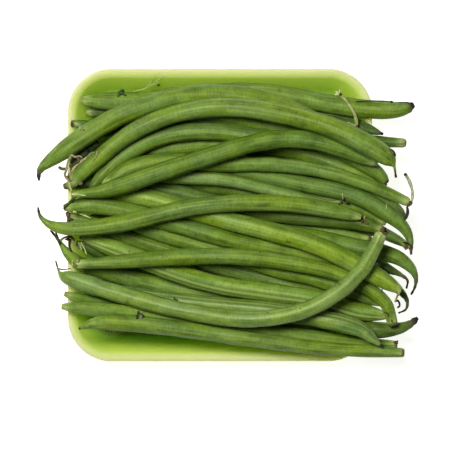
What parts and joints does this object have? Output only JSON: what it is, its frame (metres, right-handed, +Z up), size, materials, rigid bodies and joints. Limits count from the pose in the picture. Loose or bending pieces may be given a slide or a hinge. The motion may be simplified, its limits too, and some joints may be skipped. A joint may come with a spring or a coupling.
{
  "type": "green bean tray pack",
  "caption": "Heap of loose whole green beans lying lengthwise in a shallow square foam tray with sloped walls, their ends reaching over the rim.",
  "frame": {"origin": "centre of the tray's flat base", "axes": "+X along the beans, +Y across them, +Z up"},
  "size_m": [0.1709, 0.131, 0.0456],
  "materials": {
    "bean_skin": "satin, faintly waxy fresh pod skin",
    "tray_foam": "matte foam with fine closed cells"
  },
  "bodies": {
    "root": {"tray": "tray_foam", "bean_floor_01": "bean_skin", "bean_floor_02": "bean_skin", "bean_floor_03": "bean_skin", "bean_floor_04": "bean_skin", "bean_floor_05": "bean_skin", "bean_floor_06": "bean_skin", "bean_floor_07": "bean_skin", "bean_floor_08": "bean_skin", "bean_under_rim_back": "bean_skin", "bean_pale_back": "bean_skin", "bean_buried_left": "bean_skin", "bean_under_right_a": "bean_skin", "bean_under_right_b": "bean_skin", "bean_under_right_c": "bean_skin", "bean_under_right_d": "bean_skin", "bean_buried_front": "bean_skin", "bean_hooked_left": "bean_skin", "bean_shaded_left": "bean_skin", "bean_slim_front": "bean_skin", "bean_low_right": "bean_skin", "bean_front_second": "bean_skin", "bean_front": "bean_skin", "bean_back": "bean_skin", "bean_brown_cut_right": "bean_skin", "bean_long_hook_right": "bean_skin", "bean_rising_right": "bean_skin", "bean_lined_low": "bean_skin", "bean_middle_low": "bean_skin", "bean_lined_yellow": "bean_skin", "bean_centre_b": "bean_skin", "bean_lined_centre": "bean_skin", "bean_speckled": "bean_skin", "bean_hook_right": "bean_skin", "bean_back_low": "bean_skin", "bean_back_upper": "bean_skin", "bean_bright": "bean_skin", "bean_front_third": "bean_skin", "bean_grey_tip": "bean_skin", "bean_stalked": "bean_skin", "bean_arch": "bean_skin", "bean_second_arch": "bean_skin", "bean_top_arch": "bean_skin", "bean_cross_low": "bean_skin", "bean_cross_high": "bean_skin", "bean_top_hook": "bean_skin"}
  },
  "joints": []
}
